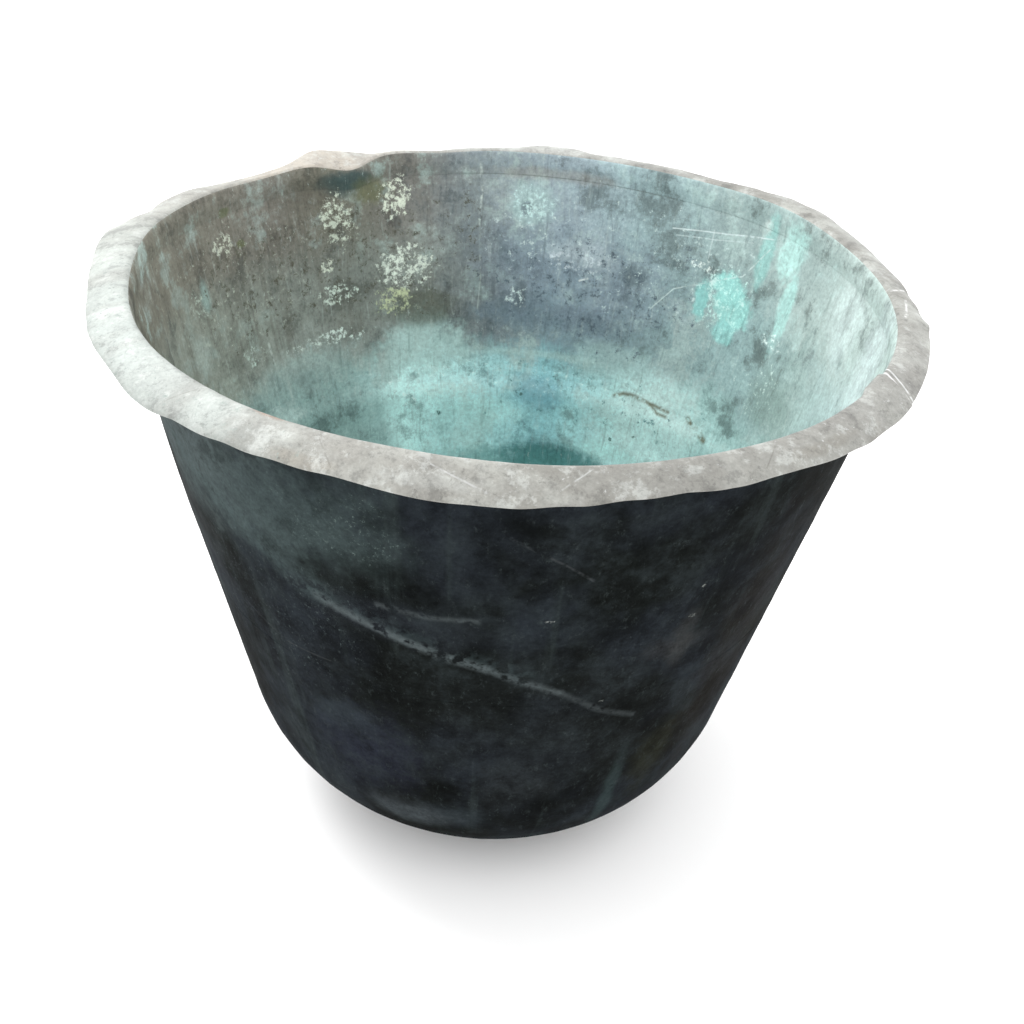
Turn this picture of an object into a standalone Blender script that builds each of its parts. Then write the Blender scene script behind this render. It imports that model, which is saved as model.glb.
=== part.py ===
"""Large hammered copper bowl: a tapered wall sheet, a raised bottom pan and a turned-out rim flange,
each lapped to the next and brazed. Metres, +Z up, origin at the centre of the foot on the floor."""

import math

import bmesh
import bpy

# Overall sizes
BOWL_HEIGHT = 0.479  # floor to the crest of the rim
RIM_OUTER_R = 0.320  # outer edge of the flange
WALL_TOP_R = 0.298  # outer face of the wall, carried up to the height of the crest
TAPER = math.radians(14.0)  # lean of the wall from upright
CORNER_R = 0.159  # outside radius between the wall and the foot

# Sheets
WALL_SHEET = 0.0020
PAN_SHEET = 0.0025
RIM_SHEET = 0.0025
FIT_GAP = 0.0003  # between two faces that touch on the real bowl

# Rim flange
FOLD_R = 0.0045  # top face of the fold at the crest
FLANGE_DROP = 0.0087  # crest to the outer edge
FLANGE_START = math.radians(5.0)  # slope of the flange where the fold ends
COLLAR_DEPTH = 0.022  # crest to the lower edge of the collar inside the wall
RIM_LAP = 0.025  # length of the flange's own lap
RIM_LAP_RISE = 0.015  # length over which the upper end climbs onto the lower one
RIM_LAP_AZIMUTH = math.radians(-27.0)  # edge of the upper end

# Wall seam
WALL_LAP = 0.025  # length of the scarfed side seam
WALL_SEAM_AZIMUTH = math.radians(97.0)
SCARF_TIP = 0.0004  # thickness left at each scarfed end
SCARF_STEP = 0.0010  # length over which a scarfed end regains its thickness

# Pan seam
PAN_STRAIGHT = 0.126  # height of the pan's straight side between its corner and its joggle
PAN_LAP = 0.020  # height of the pan's upstand inside the wall
JOGGLE = 0.0030  # height over which the pan steps inwards behind the wall
JOGGLE_MITRE = 0.4  # rise of the joggle on the inner face, as a share of the sheet

# Brazing
RIM_BEAD_CLEARANCE = 0.0006  # from the bead under the flange to the flange's underside
PAN_BEAD_R = 0.0012
RIM_LAP_BEAD_R = 0.0011
RIM_LAP_BEAD_END = 0.002  # from each end of the bead to the edge of the flange and of the collar
SIDE_BEAD_WIDTH = 0.0050
SIDE_BEAD_THICKNESS = 0.0012
SIDE_BEAD_END = 0.003  # from each end of the side bead to what stops it

# Heights that follow from the sizes above
PAN_SEAM_Z = CORNER_R * (1.0 - math.sin(TAPER)) + PAN_STRAIGHT + JOGGLE + FIT_GAP  # wall's lower edge
WALL_TOP_Z = BOWL_HEIGHT - FOLD_R  # wall's top edge, level with the centre of the fold

# Facets
TURNS = 96  # facets round the bowl
FOLD_FACETS = 6
FLANGE_FACETS = 4
CORNER_FACETS = 12
BEAD_SIDES = 6
SMOOTH_BELOW = math.radians(35.0)


# ------------------------------------------------------------------ scene


def clear_scene():
    for obj in list(bpy.data.objects):
        bpy.data.objects.remove(obj, do_unlink=True)


def make_collection(name):
    collection = bpy.data.collections.new(name)
    bpy.context.scene.collection.children.link(collection)
    return collection


def make_material(name, colour, roughness, metallic):
    material = bpy.data.materials.new(name)
    material.use_nodes = True
    shader = material.node_tree.nodes["Principled BSDF"]
    shader.inputs["Base Color"].default_value = (*colour, 1.0)
    shader.inputs["Roughness"].default_value = roughness
    shader.inputs["Metallic"].default_value = metallic
    return material


def add_object(name, data, material, collection):
    obj = bpy.data.objects.new(name, data)
    data.materials.append(material)
    collection.objects.link(obj)
    return obj


def finish_mesh(work, name):
    """Turns a bmesh into a mesh with smooth faces and its sharp edges kept."""
    mesh = bpy.data.meshes.new(name)
    bmesh.ops.recalc_face_normals(work, faces=work.faces)
    work.to_mesh(mesh)
    work.free()
    mesh.shade_smooth()
    mesh.set_sharp_from_angle(angle=SMOOTH_BELOW)
    return mesh


# ------------------------------------------------------------------ shared geometry


def layer_r(z, depth=0.0):
    """Radius at height z of the cone that lies depth inside the outer face of the wall."""
    return WALL_TOP_R - (BOWL_HEIGHT - z) * math.tan(TAPER) - depth / math.cos(TAPER)


def at_azimuth(r, z, azimuth):
    return (r * math.cos(azimuth), r * math.sin(azimuth), z)


def stations(start, end, extra):
    """Angles from start to end at the regular facets, with the extra angles put in their places."""
    step = 2.0 * math.pi / TURNS
    regular = [k * step for k in range(math.ceil(start / step), math.floor(end / step) + 1)]
    kept = [a for a in regular if all(abs(a - b) > step / 4 for b in extra)]
    return sorted(kept + list(extra))


def strip(name, sections):
    """Joins a row of equal closed sections into one solid and closes its two ends."""
    work = bmesh.new()
    rows = [[work.verts.new(point) for point in section] for section in sections]
    count = len(rows[0])
    for row, following in zip(rows, rows[1:]):
        for k in range(count):
            after = (k + 1) % count
            work.faces.new((row[k], row[after], following[after], following[k]))
    half = count // 2
    for row in (rows[0], rows[-1]):
        for k in range(half - 1):
            work.faces.new((row[k], row[k + 1], row[count - 2 - k], row[count - 1 - k]))
    return finish_mesh(work, name)


def turned(name, profile, material, collection):
    """Turns an open profile, which runs down its outer side, once round the Z axis."""
    mesh = bpy.data.meshes.new(name)
    points = [(r, 0.0, z) for r, z in profile]
    mesh.from_pydata(points, [(k, k + 1) for k in range(len(points) - 1)], [])
    obj = add_object(name, mesh, material, collection)
    screw = obj.modifiers.new("turn", "SCREW")
    screw.axis = "Z"
    screw.angle = 2.0 * math.pi
    screw.steps = TURNS
    screw.render_steps = TURNS
    screw.use_merge_vertices = True
    screw.merge_threshold = 0.00001
    screw.use_smooth_shade = True
    return obj


def ring_bead(name, ring_r, z, bead_r, material, collection):
    """A bead of spelter that runs all the way round at one height."""
    bpy.ops.mesh.primitive_torus_add(
        major_radius=ring_r,
        minor_radius=bead_r,
        major_segments=TURNS,
        minor_segments=BEAD_SIDES,
        location=(0.0, 0.0, z),
    )
    obj = bpy.context.object
    obj.name = name
    for owner in list(obj.users_collection):
        owner.objects.unlink(obj)
    collection.objects.link(obj)
    obj.data.name = name
    obj.data.materials.append(material)
    obj.data.shade_smooth()
    return obj


# ------------------------------------------------------------------ wall


def scarf(azimuth, start, lap):
    """(inner, outer) depth of the sheet's faces at an angle, for a sheet whose ends overlap as a scarf.

    From start, the inner end grows from its tip to nearly the whole sheet, and one turn later the
    outer end shrinks to its tip over the same stretch, a fit gap outside it."""
    step = SCARF_STEP / WALL_TOP_R
    gap = FIT_GAP / layer_r(PAN_SEAM_Z)
    thickest = WALL_SHEET - FIT_GAP - SCARF_TIP
    turn = 2.0 * math.pi
    if azimuth <= start + lap:
        share = (azimuth - start) / lap
        return WALL_SHEET, WALL_SHEET - SCARF_TIP - share * (thickest - SCARF_TIP)
    if azimuth <= start + lap + gap:
        return WALL_SHEET, WALL_SHEET - thickest
    if azimuth < start + turn - gap:
        back = start + turn - gap - step
        if azimuth <= back:
            return WALL_SHEET, 0.0
    share = max(0.0, (azimuth - start - turn) / lap)
    inner_end = SCARF_TIP + share * (thickest - SCARF_TIP)
    return WALL_SHEET - inner_end - FIT_GAP, 0.0


def wall_sheet(material, collection):
    """The tapered side: one sheet rolled into a cone, its ends scarfed and lapped at the back."""
    start = WALL_SEAM_AZIMUTH
    lap = WALL_LAP / WALL_TOP_R
    gap = FIT_GAP / layer_r(PAN_SEAM_Z)
    step = SCARF_STEP / WALL_TOP_R
    turn = 2.0 * math.pi
    tip = start + turn
    extra = [start, start + lap, start + lap + gap, start + lap + gap + step]
    extra += [tip - gap - step, tip - gap, tip, tip + lap]
    sections = []
    for azimuth in stations(start, tip + lap, extra):
        inner, outer = scarf(azimuth, start, lap)
        corners = ((outer, PAN_SEAM_Z), (outer, WALL_TOP_Z), (inner, WALL_TOP_Z), (inner, PAN_SEAM_Z))
        sections.append([at_azimuth(layer_r(z, depth), z, azimuth) for depth, z in corners])
    return add_object("wall_sheet", strip("wall_sheet", sections), material, collection)


def wall_seam_braze(material, collection):
    """A flattened bead of spelter along the inner edge of the side seam."""
    low = PAN_SEAM_Z + PAN_LAP + FIT_GAP + 2.0 * PAN_BEAD_R + SIDE_BEAD_END
    high = BOWL_HEIGHT - COLLAR_DEPTH - SIDE_BEAD_END
    depth = WALL_SHEET + FIT_GAP + SIDE_BEAD_THICKNESS / 2.0
    work = bmesh.new()
    bmesh.ops.create_cone(
        work,
        cap_ends=True,
        segments=2 * BEAD_SIDES,
        radius1=0.5,
        radius2=0.5,
        depth=(high - low) / math.cos(TAPER),
    )
    bmesh.ops.scale(work, vec=(SIDE_BEAD_THICKNESS, SIDE_BEAD_WIDTH, 1.0), verts=work.verts)
    obj = add_object("wall_seam_braze", finish_mesh(work, "wall_seam_braze"), material, collection)
    middle = (low + high) / 2.0
    obj.location = at_azimuth(layer_r(middle, depth), middle, WALL_SEAM_AZIMUTH)
    obj.rotation_euler = (0.0, TAPER, WALL_SEAM_AZIMUTH)
    return obj


# ------------------------------------------------------------------ pan


def pan_face(inset):
    """Points of the pan from the axis to the top of its upstand, inset from its outer face."""
    centre_z = CORNER_R
    centre_r = layer_r(centre_z, CORNER_R)
    radius = CORNER_R - inset
    points = [(0.0, inset)]
    for k in range(CORNER_FACETS + 1):
        angle = (math.pi / 2.0 - TAPER) * k / CORNER_FACETS
        points.append((centre_r + radius * math.sin(angle), centre_z - radius * math.cos(angle)))
    behind = WALL_SHEET + FIT_GAP
    joggle_z = PAN_SEAM_Z - FIT_GAP + JOGGLE_MITRE * inset
    points.append((layer_r(joggle_z - JOGGLE, inset), joggle_z - JOGGLE))
    points.append((layer_r(joggle_z, inset + behind), joggle_z))
    top_z = PAN_SEAM_Z + PAN_LAP
    points.append((layer_r(top_z, inset + behind), top_z))
    return points


def bottom_pan(material, collection):
    """The raised bottom: a flat foot, a deep round corner and an upstand joggled behind the wall."""
    profile = pan_face(PAN_SHEET) + pan_face(0.0)[::-1]
    return turned("bottom_pan", profile, material, collection)


def bottom_seam_braze(material, collection):
    """The bead on top of the pan's upstand, against the inner face of the wall."""
    z = PAN_SEAM_Z + PAN_LAP + FIT_GAP + PAN_BEAD_R
    ring_r = layer_r(z, WALL_SHEET + FIT_GAP + PAN_BEAD_R)
    return ring_bead("bottom_seam_braze", ring_r, z, PAN_BEAD_R, material, collection)


# ------------------------------------------------------------------ rim


def rim_path():
    """(r, z, heading) along the upper face of the rim, from the collar's lower edge to the flange's edge.

    The collar lies inside the wall, a fold of FOLD_R turns it over the crest, and one arc carries the
    flange down to its outer edge. That arc's radius follows from its width and its drop."""
    up = math.pi / 2.0 - TAPER
    depth = WALL_SHEET + FIT_GAP + RIM_SHEET
    fold_z = BOWL_HEIGHT - FOLD_R
    fold_start_z = fold_z + FOLD_R * math.cos(up)
    fold_r = layer_r(fold_start_z, depth) + FOLD_R * math.sin(up)
    collar_z = BOWL_HEIGHT - COLLAR_DEPTH
    path = [(layer_r(collar_z, depth), collar_z, up)]
    for k in range(FOLD_FACETS + 1):
        heading = up - (up + FLANGE_START) * k / FOLD_FACETS
        path.append((fold_r - FOLD_R * math.sin(heading), fold_z + FOLD_R * math.cos(heading), heading))
    begin_r, begin_z, _ = path[-1]
    width = RIM_OUTER_R - begin_r
    drop = begin_z - (BOWL_HEIGHT - FLANGE_DROP)
    end_slope = 2.0 * math.atan2(drop, width) - FLANGE_START
    arc_r = width / (math.sin(end_slope) - math.sin(FLANGE_START))
    for k in range(1, FLANGE_FACETS + 1):
        slope = FLANGE_START + (end_slope - FLANGE_START) * k / FLANGE_FACETS
        r = begin_r + arc_r * (math.sin(slope) - math.sin(FLANGE_START))
        z = begin_z - arc_r * (math.cos(FLANGE_START) - math.cos(slope))
        path.append((r, z, -slope))
    return path


def lifted(r, z, heading, height):
    """A point of the rim's upper face lifted clear by height, never past the flange's outer edge."""
    normal_r, normal_z = -math.sin(heading), math.cos(heading)
    if normal_r <= 0.0:
        return r + height * normal_r, z + height * normal_z
    return r, z + height / normal_z


def rim_section(path, height, azimuth):
    """The closed outline of the rim strip at an angle, lifted by height."""
    upper = []
    lower = []
    for r, z, heading in path:
        under_r = r + RIM_SHEET * math.sin(heading)
        under_z = z - RIM_SHEET * math.cos(heading)
        upper.append(at_azimuth(*lifted(r, z, heading, height), azimuth))
        lower.append(at_azimuth(*lifted(under_r, under_z, heading, height), azimuth))
    return upper + lower[::-1]


def rim_flange(material, collection):
    """The rim: a collar inside the wall, folded over the crest into a flange, its two ends lapped."""
    path = rim_path()
    turn = 2.0 * math.pi
    lap = RIM_LAP / RIM_OUTER_R
    rise = RIM_LAP_RISE / RIM_OUTER_R
    clear = SCARF_STEP / RIM_OUTER_R
    end = RIM_LAP_AZIMUTH + turn
    start = RIM_LAP_AZIMUTH - lap
    raised = start + turn - clear
    full = RIM_SHEET + FIT_GAP
    extra = [start, raised - rise, raised - rise / 2.0, raised, end]
    sections = []
    for azimuth in stations(start, end, extra):
        share = min(1.0, max(0.0, (azimuth - raised + rise) / rise))
        sections.append(rim_section(path, full * share * share * (3.0 - 2.0 * share), azimuth))
    return add_object("rim_flange", strip("rim_flange", sections), material, collection)


def rim_seam_braze(material, collection):
    """The bead in the hollow under the flange, against the outer face of the wall's top edge."""
    bead_r = FOLD_R - RIM_SHEET - RIM_BEAD_CLEARANCE
    ring_r = layer_r(WALL_TOP_Z) + (FIT_GAP + bead_r) / math.cos(TAPER)
    return ring_bead("rim_seam_braze", ring_r, WALL_TOP_Z, bead_r, material, collection)


def rim_lap_braze(material, collection):
    """The bead along the edge of the flange's upper end, from the collar over the crest to the edge."""
    path = rim_path()
    azimuth = RIM_LAP_AZIMUTH + (FIT_GAP + RIM_LAP_BEAD_R) / path[0][0]
    first, last = path[0], path[-1]
    first = (
        first[0] + RIM_LAP_BEAD_END * math.cos(first[2]),
        first[1] + RIM_LAP_BEAD_END * math.sin(first[2]),
        first[2],
    )
    last = (
        last[0] - RIM_LAP_BEAD_END * math.cos(last[2]),
        last[1] - RIM_LAP_BEAD_END * math.sin(last[2]),
        last[2],
    )
    height = FIT_GAP + RIM_LAP_BEAD_R
    curve = bpy.data.curves.new("rim_lap_braze", "CURVE")
    curve.dimensions = "3D"
    curve.bevel_depth = RIM_LAP_BEAD_R
    curve.bevel_resolution = 1
    curve.use_fill_caps = True
    spline = curve.splines.new("POLY")
    route = [first] + path[1:-1] + [last]
    spline.points.add(len(route) - 1)
    for point, (r, z, heading) in zip(spline.points, route):
        over = (r - height * math.sin(heading), z + height * math.cos(heading))
        point.co = (*at_azimuth(*over, azimuth), 1.0)
    return add_object("rim_lap_braze", curve, material, collection)


# ------------------------------------------------------------------ bowl


def main():
    clear_scene()
    bowl = make_collection("hammered_copper_bowl")
    wall_copper = make_material("wall_copper", (0.060, 0.070, 0.068), 0.55, 0.6)
    pan_copper = make_material("pan_copper", (0.150, 0.280, 0.270), 0.60, 0.4)
    rim_copper = make_material("rim_copper", (0.420, 0.430, 0.400), 0.45, 0.7)
    spelter = make_material("spelter", (0.450, 0.380, 0.220), 0.40, 0.8)
    wall_sheet(wall_copper, bowl)
    wall_seam_braze(spelter, bowl)
    bottom_pan(pan_copper, bowl)
    bottom_seam_braze(spelter, bowl)
    rim_flange(rim_copper, bowl)
    rim_seam_braze(spelter, bowl)
    rim_lap_braze(spelter, bowl)


main()
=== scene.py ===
"""Large hammered copper bowl: the looks of its sheets, seams and patina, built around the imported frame.

Every length is in metres, +Z is up and the origin is the centre of the foot. Angles round the bowl are
azimuths: 0 degrees lies towards +X, the front is at -90 and the side seam at the back is at 97."""

import math

import bpy
import numpy as np
from mathutils import Matrix, Vector


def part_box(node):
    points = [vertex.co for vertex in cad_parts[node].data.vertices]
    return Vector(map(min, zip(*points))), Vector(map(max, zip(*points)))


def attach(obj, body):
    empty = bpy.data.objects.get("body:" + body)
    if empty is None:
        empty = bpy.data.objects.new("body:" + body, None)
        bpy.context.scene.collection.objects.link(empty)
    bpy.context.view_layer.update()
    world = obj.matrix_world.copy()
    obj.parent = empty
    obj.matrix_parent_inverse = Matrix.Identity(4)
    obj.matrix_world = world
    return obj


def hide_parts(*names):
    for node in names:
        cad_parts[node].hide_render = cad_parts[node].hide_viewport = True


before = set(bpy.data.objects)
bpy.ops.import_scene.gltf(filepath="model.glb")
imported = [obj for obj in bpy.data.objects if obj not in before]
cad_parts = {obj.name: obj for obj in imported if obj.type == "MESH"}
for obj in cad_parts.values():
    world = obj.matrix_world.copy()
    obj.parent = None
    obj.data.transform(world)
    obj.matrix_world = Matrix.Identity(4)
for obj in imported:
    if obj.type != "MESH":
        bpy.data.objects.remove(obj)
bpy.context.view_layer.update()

BODY = "root"

bl_info = {
    "name": "Hammered Copper Bowl",
    "version": (1, 0, 0),
    "blender": (4, 5, 0),
    "location": "3D View > Sidebar > Copper Bowl",
    "description": "Builds the hammered sheets, brazed seams and old patina of a large copper bowl",
    "category": "Object",
}

TURN = 2.0 * math.pi


# ------------------------------------------------------------------ settings


def length(name, description, default):
    """A length in metres that the sidebar shows."""
    return bpy.props.FloatProperty(
        name=name, description=description, default=default, min=0.0, precision=4, unit="LENGTH"
    )


def angle(name, description, degrees):
    """An angle that is written here in degrees."""
    return bpy.props.FloatProperty(
        name=name, description=description, default=math.radians(degrees), unit="ROTATION"
    )


def colour(name, description, default):
    """A colour given as the shares of light it reflects."""
    return bpy.props.FloatVectorProperty(
        name=name, description=description, default=default, size=3, min=0.0, max=1.0, subtype="COLOR"
    )


class BowlShape(bpy.types.PropertyGroup):
    """Sizes of the bowl before and after the hammer."""

    height: length("Height", "Floor to the crest of the rim", 0.479)
    rim_r: length("Rim radius", "Outer edge of the flange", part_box("rim_flange")[1].x)
    wall_r: length("Wall radius", "Outer face of the wall carried up to the crest", 0.298)
    taper: angle("Taper", "Lean of the wall from upright", 14.0)
    corner_r: length("Corner radius", "Outside radius between the wall and the foot", 0.159)
    wall_sheet: length("Wall sheet", "Thickness of the wall", 0.0020)
    pan_sheet: length("Pan sheet", "Thickness of the pan", 0.0025)
    rim_sheet: length("Rim sheet", "Thickness of the rim", 0.0025)
    fit_gap: length("Fit gap", "Gap between two sheets in a lap", 0.0003)
    seam_z: length("Pan seam height", "Lower edge of the wall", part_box("wall_sheet")[0].z)
    pan_lap: length("Pan lap", "Height of the pan's upstand inside the wall", 0.020)
    fold_r: length("Fold radius", "Radius of the rim's fold on its upper face", 0.0045)
    flange_drop: length("Flange drop", "Crest to the flange's outer edge", 0.0087)
    collar: length("Collar", "Crest to the lower edge of the collar inside the wall", 0.022)
    seam_azimuth: angle("Side seam", "Azimuth of the wall's own seam", 97.0)
    lap_azimuth: angle("Rim lap", "Azimuth of the upper end of the rim strip", -27.0)
    blow: length("Hammer blow", "Distance between two hammer marks", 0.021)
    wall_blow_depth: length("Wall marks", "Depth of a hammer mark on the wall", 0.00050)
    rim_blow_depth: length("Rim marks", "Depth of a hammer mark on the flange", 0.00080)


class BowlFinish(bpy.types.PropertyGroup):
    """Colours of the old copper."""

    black_copper: colour("Black copper", "Sooty patina outside", (0.0050, 0.0062, 0.0058))
    haze: colour("Haze", "Grey-green bloom high on the outside", (0.030, 0.040, 0.039))
    brown_copper: colour("Brown copper", "Bare brown oxide inside", (0.094, 0.084, 0.068))
    lime: colour("Lime", "Pale crust and flecks", (0.460, 0.530, 0.500))
    worn_rim: colour("Worn rim", "Silvery metal of the flange", (0.300, 0.306, 0.283))
    spelter: colour("Spelter", "Brazing metal at the seams", (0.300, 0.300, 0.250))


# ------------------------------------------------------------------ the knocked-about shape


def smooth(value, low, high):
    """Rises from 0 at low to 1 at high as three times its square less twice its cube."""
    share = np.clip((value - low) / (high - low), 0.0, 1.0)
    return share * share * (3.0 - 2.0 * share)


def apart(azimuth, centre):
    """Signed angle from centre to azimuth, between minus and plus half a turn."""
    return (azimuth - centre + math.pi) % TURN - math.pi


def hump(azimuth, centre_deg, half_deg):
    """A bell over azimuth: the exponential of minus the squared distance over the squared half width."""
    return np.exp(-((apart(azimuth, math.radians(centre_deg)) / math.radians(half_deg)) ** 2))


def scatter(cells, salt):
    """A repeatable number from 0 to 1 for each whole-number cell, from the fraction of a large sine."""
    mixed = cells @ np.array([127.1, 311.7, 74.7]) + salt * 17.3
    return np.modf(np.abs(np.sin(mixed)) * 43758.5453)[0]


def hammer_marks(points, spacing):
    """How deep a point lies in its hammer mark, from 0 at the ridges to 1 in the middle.

    Space is cut into cubes of the spacing, each with one blow near its centre, and the depth is one
    less the squared distance to the nearest blow, in spacings."""
    scaled = points / spacing
    cell = np.floor(scaled)
    nearest = np.full(points.shape[:-1], np.inf)
    for shift in np.stack(np.meshgrid(*[(-1, 0, 1)] * 3), -1).reshape(-1, 3):
        here = cell + shift
        blow = here + 0.5 + 0.7 * (np.stack([scatter(here, k) for k in range(3)], -1) - 0.5)
        nearest = np.minimum(nearest, ((scaled - blow) ** 2).sum(-1))
    return np.clip(1.0 - nearest, 0.0, 1.0)


# Bends of the flange's outer edge: azimuth, half width (degrees), outwards, upwards (metres)
EDGE_BENDS = (
    (3.0, 7.0, -0.0015, -0.0011),
    (38.0, 14.0, 0.0036, 0.0090),
    (68.0, 13.0, 0.0008, 0.0030),
    (84.0, 6.0, 0.0012, 0.0060),
    (97.0, 4.0, -0.0008, -0.0024),
    (105.0, 4.0, -0.0016, -0.0048),
    (113.0, 5.0, -0.0015, -0.0037),
    (125.5, 5.5, 0.0020, 0.0085),
    (138.0, 8.0, -0.0020, -0.0044),
    (155.0, 5.0, 0.0020, 0.0038),
    (173.5, 9.5, 0.0070, 0.0065),
    (193.0, 5.0, -0.0012, 0.0),
    (207.0, 8.0, 0.0014, 0.0),
    (222.0, 6.0, 0.0033, -0.0028),
    (243.0, 6.0, -0.0007, 0.0010),
    (251.0, 5.0, -0.0010, 0.0015),
    (268.0, 7.0, 0.0013, -0.0019),
    (289.0, 7.0, -0.0016, 0.0023),
    (302.0, 4.0, -0.0009, 0.0012),
    (320.0, 9.0, 0.0024, -0.0018),
    (332.0, 5.0, 0.0012, -0.0006),
    (348.0, 5.0, -0.0006, 0.0),
    (354.8, 1.6, 0.0021, 0.0007),
)
# The same for the crest and the top of the wall
CREST_BENDS = (
    (122.5, 5.5, -0.0110, -0.0080),
    (105.0, 7.0, -0.0010, -0.0022),
    (139.0, 10.0, -0.0020, -0.0030),
    (38.0, 14.0, 0.0015, 0.0030),
    (174.0, 12.0, 0.0010, 0.0030),
    (188.0, 22.0, -0.0060, 0.0),
    (226.0, 22.0, -0.0035, 0.0020),
    (258.0, 22.0, -0.0035, 0.0045),
    (292.0, 16.0, -0.0010, 0.0020),
)


def bends(azimuth, rows):
    """Sum of the rows' humps, outwards and upwards."""
    out = np.zeros_like(azimuth)
    up = np.zeros_like(azimuth)
    for centre, half, outwards, upwards in rows:
        bell = hump(azimuth, centre, half)
        out += outwards * bell
        up += upwards * bell
    return out, up


# How far below the crest its bends die out, outwards and upwards, and the swing of the edge's flats
BEND_REACH_OUT = 0.16
BEND_REACH_UP = 0.05
FLAT_DEPTH = 0.0008
EDGE_WAVE = 0.0005


def knocked(shape, r, azimuth, z):
    """Radius and height of a point of the round bowl once the bowl has been knocked about.

    The crest's bends die out down the wall, and change over to those of the outer edge across the
    flange, whose edge is also a row of short flats: it falls in by a rectified sine."""
    crest_r = shape.wall_r - shape.rim_sheet
    rim_share = np.clip((r - crest_r) / (shape.rim_r - crest_r), 0.0, 1.0)
    crest_share = 1.0 - smooth(rim_share, 0.0, 1.0)
    crest_out, crest_up = bends(azimuth, CREST_BENDS)
    edge_out, edge_up = bends(azimuth, EDGE_BENDS)
    flats = np.abs(np.sin(13.0 * azimuth + 1.9 * np.sin(5.0 * azimuth) + 1.1 * np.sin(11.0 * azimuth)))
    edge_out = edge_out + FLAT_DEPTH * (flats - 0.6)
    edge_up = edge_up + EDGE_WAVE * np.sin(37.0 * azimuth + 2.0 * np.sin(9.0 * azimuth))
    held_out = smooth(z, shape.height - BEND_REACH_OUT, shape.height) * crest_share
    held_up = smooth(z, shape.height - BEND_REACH_UP, shape.height) * crest_share
    return r + crest_out * held_out + edge_out * rim_share, z + crest_up * held_up + edge_up * rim_share


def place(shape, azimuth, face, along=0.0, offset=0.0, depth=0.0):
    """Points of a sheet on the knocked-about bowl.

    face holds (r, z, heading) of the sheet's own smooth face. A point starts there, is knocked about,
    and is then moved along the heading and off the face, less the hammer mark at that place."""
    r, z, heading = face
    out = np.stack([r * np.cos(azimuth), r * np.sin(azimuth), z + 0.0 * azimuth], -1)
    lift = offset - depth * hammer_marks(out, shape.blow)
    moved_r, moved_z = knocked(shape, r, azimuth, z)
    moved_r = moved_r + along * np.cos(heading) - lift * np.sin(heading)
    moved_z = moved_z + along * np.sin(heading) + lift * np.cos(heading)
    return np.stack([moved_r * np.cos(azimuth), moved_r * np.sin(azimuth), moved_z], -1)


def wall_line(shape, z, inset=0.0):
    """Radius at height z of the cone that lies inset inside the wall's outer face."""
    return shape.wall_r - (shape.height - z) * math.tan(shape.taper) - inset / math.cos(shape.taper)


# ------------------------------------------------------------------ meshes


SHARP_FROM = math.radians(38.0)


def grid_faces(rows, columns, around):
    """Quads of a grid whose points are numbered row by row; around closes each row on itself."""
    across = columns if around else columns - 1
    row, column = np.meshgrid(np.arange(rows - 1), np.arange(across), indexing="ij")
    after = (column + 1) % columns
    corners = (row * columns + column, row * columns + after)
    return np.stack([corners[0], corners[1], corners[1] + columns, corners[0] + columns], -1).reshape(-1, 4)


def add_piece(name, node, points, faces, materials, kinds=None):
    """Puts a finished surface into the scene in place of its CAD node."""
    mesh = bpy.data.meshes.new(name)
    mesh.from_pydata(points.reshape(-1, 3).tolist(), [], [tuple(f) for f in faces])
    for material in materials:
        mesh.materials.append(material)
    if kinds is not None:
        mesh.polygons.foreach_set("material_index", kinds.astype(np.int32))
    mesh.shade_smooth()
    mesh.update()
    mesh.set_sharp_from_angle(angle=SHARP_FROM)
    if mesh.validate():
        raise RuntimeError(f"{name} holds faces that Blender had to mend")
    piece = bpy.data.objects.new(name, mesh)
    bpy.context.scene.collection.objects.link(piece)
    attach(piece, BODY)
    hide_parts(node)
    return piece


def strip_piece(name, node, points, materials, kinds):
    """A sheet that runs round the bowl as a strip: rows of equal closed sections, both ends capped.

    points has one row for each station round the bowl, and kinds the material of each step of the
    section. The section's first half is one face of the sheet and its second half the other, backwards."""
    rows, columns = points.shape[:2]
    sides = grid_faces(rows, columns, True)
    step = np.arange(columns // 2 - 1)
    cap = np.stack([step, columns - 1 - step, columns - 2 - step, step + 1], -1)
    far = (rows - 1) * columns + cap[:, ::-1]
    every = np.concatenate([sides, cap, far]).tolist()
    kind = np.concatenate([np.tile(kinds, rows - 1), np.full(2 * len(cap), kinds[-1])])
    return add_piece(name, node, points, every, materials, kind)


# ------------------------------------------------------------------ wall


WALL_STATIONS = 560
WALL_ROWS = 56
SCARF_LAP = 0.025
SCARF_TIP = 0.0004


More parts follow.
